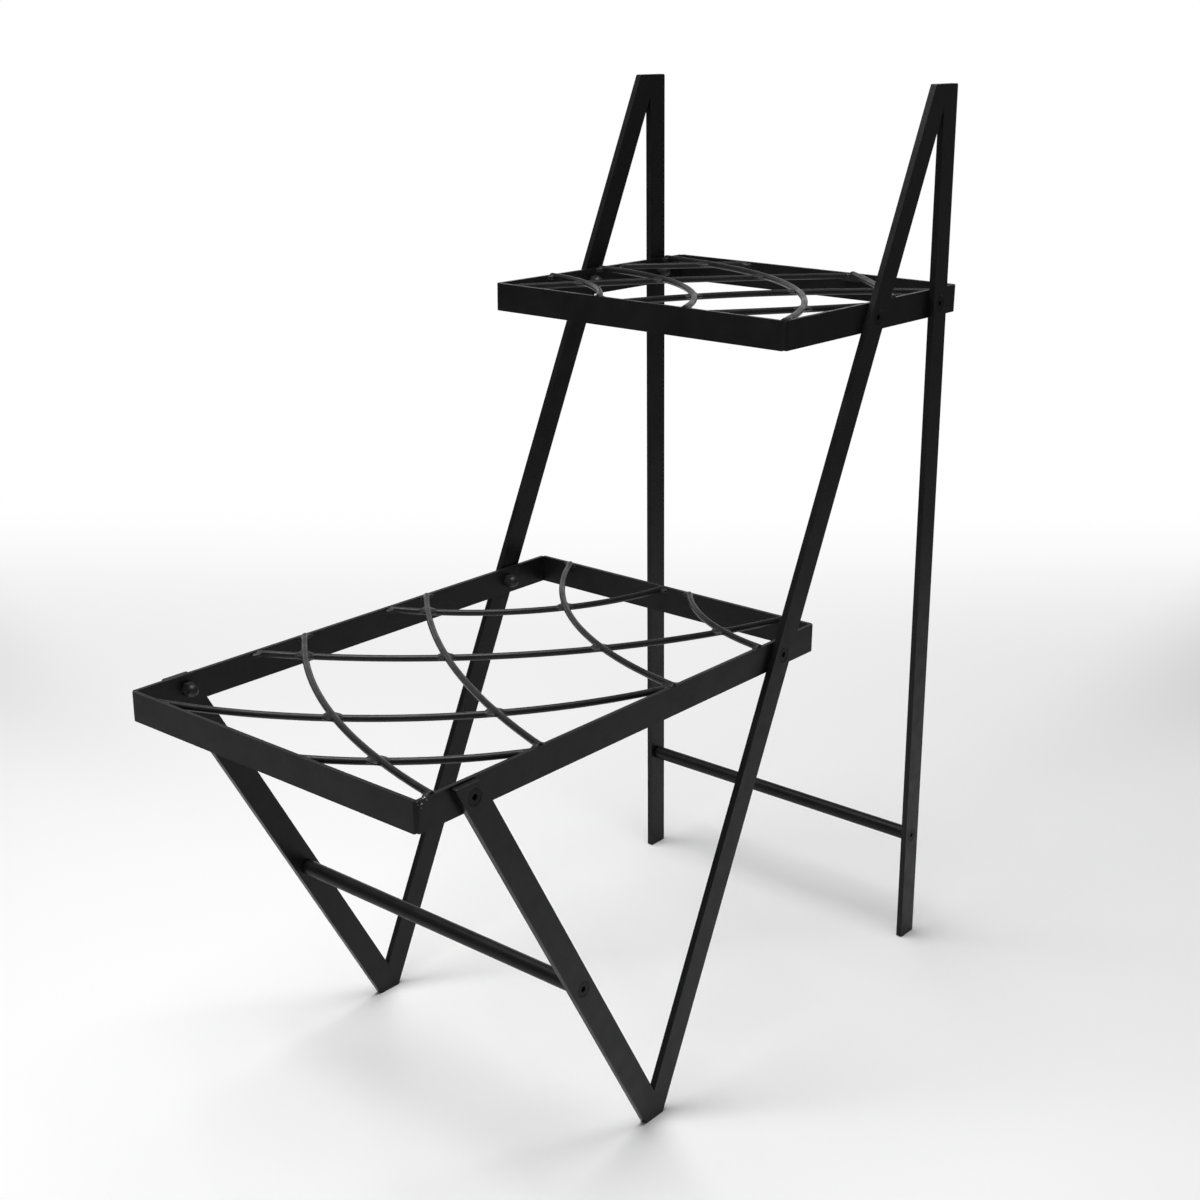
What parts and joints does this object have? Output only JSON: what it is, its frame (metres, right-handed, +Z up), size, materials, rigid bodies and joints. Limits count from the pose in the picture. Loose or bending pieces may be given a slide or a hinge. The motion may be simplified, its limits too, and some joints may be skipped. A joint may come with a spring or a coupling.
{
  "type": "plant stand",
  "caption": "Free-standing stepped metal plant stand: zigzag flat-bar side frames hold rectangular band-edged trays of bowed, crossing rods, joined by round stretchers, for potted plants.",
  "frame": {"origin": "on the floor, under the middle of the stand's overall width and depth", "axes": "+Z is up, +X is the stand's right as seen from the front, -Y is the front, where the lower tray is"},
  "size_m": [0.292, 0.624, 0.7425],
  "materials": {
    "frame_paint": "satin black powder coat on steel flat bar and round bar",
    "tray_paint": "satin black powder coat on steel band and rod, with smooth weld fillets",
    "fastener_black": "black-finished steel screws and dome nuts"
  },
  "bodies": {
    "root": {"left_front_leg": "frame_paint", "left_diagonal_leg": "frame_paint", "left_rear_leg": "frame_paint", "right_front_leg": "frame_paint", "right_diagonal_leg": "frame_paint", "right_rear_leg": "frame_paint", "front_stretcher": "frame_paint", "rear_stretcher": "frame_paint", "lower_tray_front_rail": "tray_paint", "lower_tray_right_rail": "tray_paint", "lower_tray_rear_rail": "tray_paint", "lower_tray_left_rail": "tray_paint", "upper_tray_front_rail": "tray_paint", "upper_tray_right_rail": "tray_paint", "upper_tray_rear_rail": "tray_paint", "upper_tray_left_rail": "tray_paint", "lower_tray_long_rod_1": "tray_paint", "lower_tray_long_rod_2": "tray_paint", "lower_tray_long_rod_3": "tray_paint", "lower_tray_long_rod_4": "tray_paint", "lower_tray_cross_rod_1": "tray_paint", "lower_tray_cross_rod_2": "tray_paint", "lower_tray_cross_rod_3": "tray_paint", "lower_tray_cross_rod_4": "tray_paint", "upper_tray_long_rod_1": "tray_paint", "upper_tray_long_rod_2": "tray_paint", "upper_tray_long_rod_3": "tray_paint", "upper_tray_long_rod_4": "tray_paint", "upper_tray_cross_rod_1": "tray_paint", "upper_tray_cross_rod_2": "tray_paint", "upper_tray_cross_rod_3": "tray_paint", "upper_tray_cross_rod_4": "tray_paint", "lower_tray_screws": "fastener_black", "upper_tray_screws": "fastener_black", "stretcher_screws": "fastener_black", "lower_tray_dome_nuts": "fastener_black", "upper_tray_dome_nuts": "fastener_black"}
  },
  "joints": []
}
